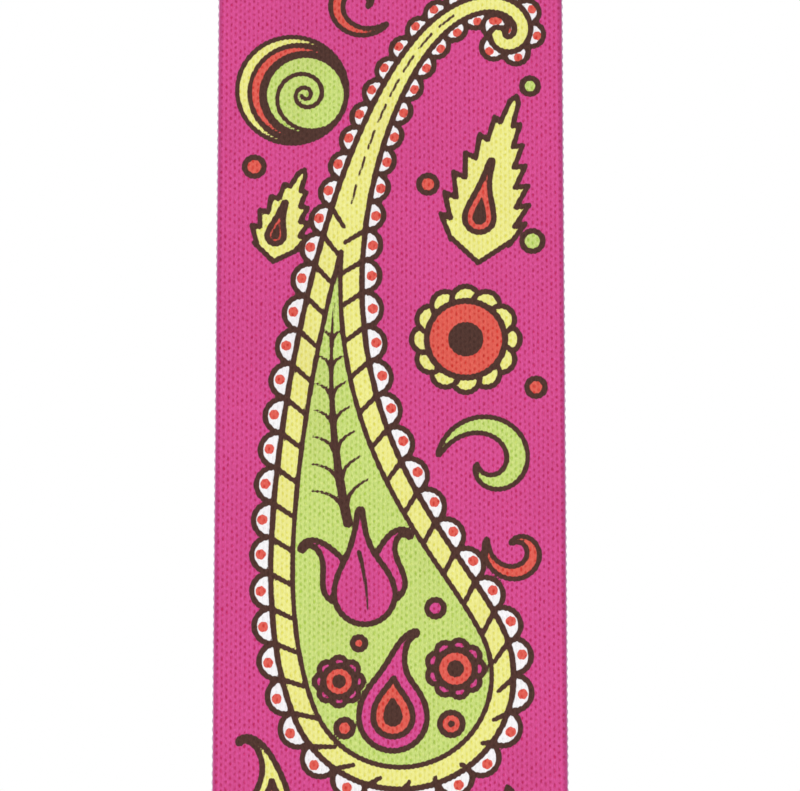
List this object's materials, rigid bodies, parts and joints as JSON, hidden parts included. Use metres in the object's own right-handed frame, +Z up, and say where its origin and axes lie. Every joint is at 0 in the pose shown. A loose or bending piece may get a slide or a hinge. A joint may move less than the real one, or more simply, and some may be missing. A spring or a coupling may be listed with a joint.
{
  "type": "guitar strap",
  "caption": "Flat printed webbing strap for a guitar, hung double, with a leather end tab at each end, a rectangular ring and a length slider.",
  "frame": {"origin": "where the top of a round peg touches the underside of the strap's fold", "axes": "+Z up; X across the webbing; -Y the way the front leg's printed face looks, +Y the back leg's"},
  "size_m": [0.063, 0.0519, 0.5354],
  "materials": {
    "webbing": "printed woven polyester",
    "leather": "satin black leather",
    "ring_leather": "satin black leather",
    "thread": "waxed thread",
    "plating": "nickel plated",
    "pin": "satin steel"
  },
  "bodies": {
    "peg_fold": {"webbing_over_peg": "webbing"},
    "front_leg_upper": {"webbing_front_upper": "webbing"},
    "front_leg_lower": {"webbing_front_lower": "webbing"},
    "plain_tab": {"webbing_tab_end": "webbing", "plain_tab_face": "leather", "plain_tab_lining": "leather", "plain_tab_edge_stitching": "thread", "plain_tab_box_stitching": "thread"},
    "back_leg": {"webbing_back_run": "webbing"},
    "slider": {"slider_frame": "plating", "slider_bar": "pin", "webbing_bar_loop": "webbing", "bar_loop_stitching": "thread"},
    "ring_end": {"webbing_ring_turn": "webbing", "webbing_return": "webbing"},
    "ring": {"rectangular_ring": "plating"},
    "ring_tab": {"ring_strap": "ring_leather", "ring_tab_face": "leather", "ring_tab_lining": "leather", "ring_tab_edge_stitching": "thread", "ring_tab_box_stitching": "thread"}
  },
  "joints": [
    {"name": "front_shoulder_flex", "type": "hinge", "parent": "peg_fold", "child": "front_leg_upper", "pos_m": [0, -0.0227, -0.0285], "axis": [1, 0, 0], "range_deg": [-60, 1]},
    {"name": "front_leg_flex", "type": "hinge", "parent": "front_leg_upper", "child": "front_leg_lower", "pos_m": [0, -0.0227, -0.262], "axis": [1, 0, 0], "range_deg": [-90, 0.5]},
    {"name": "plain_tab_flex", "type": "hinge", "parent": "front_leg_lower", "child": "plain_tab", "pos_m": [0, -0.0227, -0.415], "axis": [1, 0, 0], "range_deg": [-90, 4]},
    {"name": "back_shoulder_flex", "type": "hinge", "parent": "peg_fold", "child": "back_leg", "pos_m": [0, 0.0227, -0.0285], "axis": [1, 0, 0], "range_deg": [-0.5, 60]},
    {"name": "slider_travel", "type": "slide", "parent": "back_leg", "child": "slider", "axis": [0, 0, -1], "range_m": [0, 0.15]},
    {"name": "ring_end_travel", "type": "slide", "parent": "slider", "child": "ring_end", "axis": [0, 0, -1], "range_m": [-0.075, 0], "deforming": ["webbing_return"]},
    {"name": "ring_swing", "type": "hinge", "parent": "ring_end", "child": "ring", "pos_m": [0, 0.01995, -0.398], "axis": [1, 0, 0], "range_deg": [-2, 80]},
    {"name": "ring_tab_swing", "type": "hinge", "parent": "ring", "child": "ring_tab", "pos_m": [0, 0.01995, -0.42], "axis": [1, 0, 0], "range_deg": [-2, 80]}
  ],
  "couplings": [
    {"joint": "ring_end_travel", "follows": "slider_travel", "ratio": -0.5}
  ]
}
